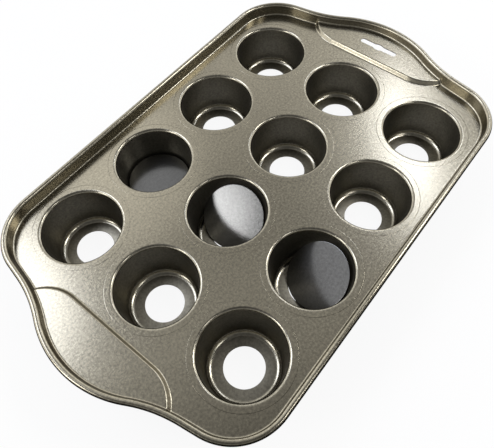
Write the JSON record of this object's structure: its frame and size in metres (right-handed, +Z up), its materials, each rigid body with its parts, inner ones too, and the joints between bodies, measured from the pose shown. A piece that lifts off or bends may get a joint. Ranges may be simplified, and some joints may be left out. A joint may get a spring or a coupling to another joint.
{
  "type": "mini muffin pan",
  "caption": "Rectangular non-stick mini muffin pan with rounded grip handles, a rolled wire rim, tapered cups with finger holes, and loose round bases that push up and lift out.",
  "frame": {"origin": "under the middle of the grid of cups, level with their undersides", "axes": "+X from one handle to the other, towards the one with the hang slot; +Y across the pan; +Z up out of the cups"},
  "size_m": [0.3526, 0.2216, 0.0414],
  "materials": {
    "deck_coat": "satin non-stick with a fine metallic grain",
    "cup_coat": "satin non-stick with a fine metallic grain",
    "base_coat": "satin grey non-stick",
    "wire": "plain drawn wire"
  },
  "bodies": {
    "pan": {"deck": "deck_coat", "rim_wire": "wire", "cup_r1c1": "cup_coat", "cup_r1c2": "cup_coat", "cup_r1c3": "cup_coat", "cup_r2c1": "cup_coat", "cup_r2c2": "cup_coat", "cup_r2c3": "cup_coat", "cup_r3c1": "cup_coat", "cup_r3c2": "cup_coat", "cup_r3c3": "cup_coat", "cup_r4c1": "cup_coat", "cup_r4c2": "cup_coat", "cup_r4c3": "cup_coat"},
    "base_01": {"base_01": "base_coat"},
    "base_02": {"base_02": "base_coat"},
    "base_03": {"base_03": "base_coat"},
    "base_04": {"base_04": "base_coat"},
    "base_05": {"base_05": "base_coat"},
    "base_06": {"base_06": "base_coat"},
    "base_07": {"base_07": "base_coat"},
    "base_08": {"base_08": "base_coat"},
    "base_09": {"base_09": "base_coat"},
    "base_10": {"base_10": "base_coat"},
    "base_11": {"base_11": "base_coat"},
    "base_12": {"base_12": "base_coat"}
  },
  "joints": [
    {"name": "lift_01", "type": "slide", "parent": "pan", "child": "base_01", "axis": [0, 0, 1], "range_m": [0, 0.042]},
    {"name": "lift_02", "type": "slide", "parent": "base_01", "child": "base_02", "axis": [0, 0, 1], "range_m": [0, 0.042]},
    {"name": "lift_03", "type": "slide", "parent": "base_02", "child": "base_03", "axis": [0, 0, 1], "range_m": [0, 0.042]},
    {"name": "lift_04", "type": "slide", "parent": "base_03", "child": "base_04", "axis": [0, 0, 1], "range_m": [0, 0.042]},
    {"name": "lift_05", "type": "slide", "parent": "base_04", "child": "base_05", "axis": [0, 0, 1], "range_m": [0, 0.042]},
    {"name": "lift_06", "type": "slide", "parent": "base_05", "child": "base_06", "axis": [0, 0, 1], "range_m": [0, 0.042]},
    {"name": "lift_07", "type": "slide", "parent": "base_06", "child": "base_07", "axis": [0, 0, 1], "range_m": [0, 0.042]},
    {"name": "lift_08", "type": "slide", "parent": "base_07", "child": "base_08", "axis": [0, 0, 1], "range_m": [0, 0.042]},
    {"name": "lift_09", "type": "slide", "parent": "base_08", "child": "base_09", "axis": [0, 0, 1], "range_m": [0, 0.042]},
    {"name": "lift_10", "type": "slide", "parent": "base_09", "child": "base_10", "axis": [0, 0, 1], "range_m": [0, 0.042]},
    {"name": "lift_11", "type": "slide", "parent": "pan", "child": "base_11", "axis": [0, 0, 1], "range_m": [0, 0.042]},
    {"name": "lift_12", "type": "slide", "parent": "pan", "child": "base_12", "axis": [0, 0, 1], "range_m": [0, 0.042]}
  ]
}
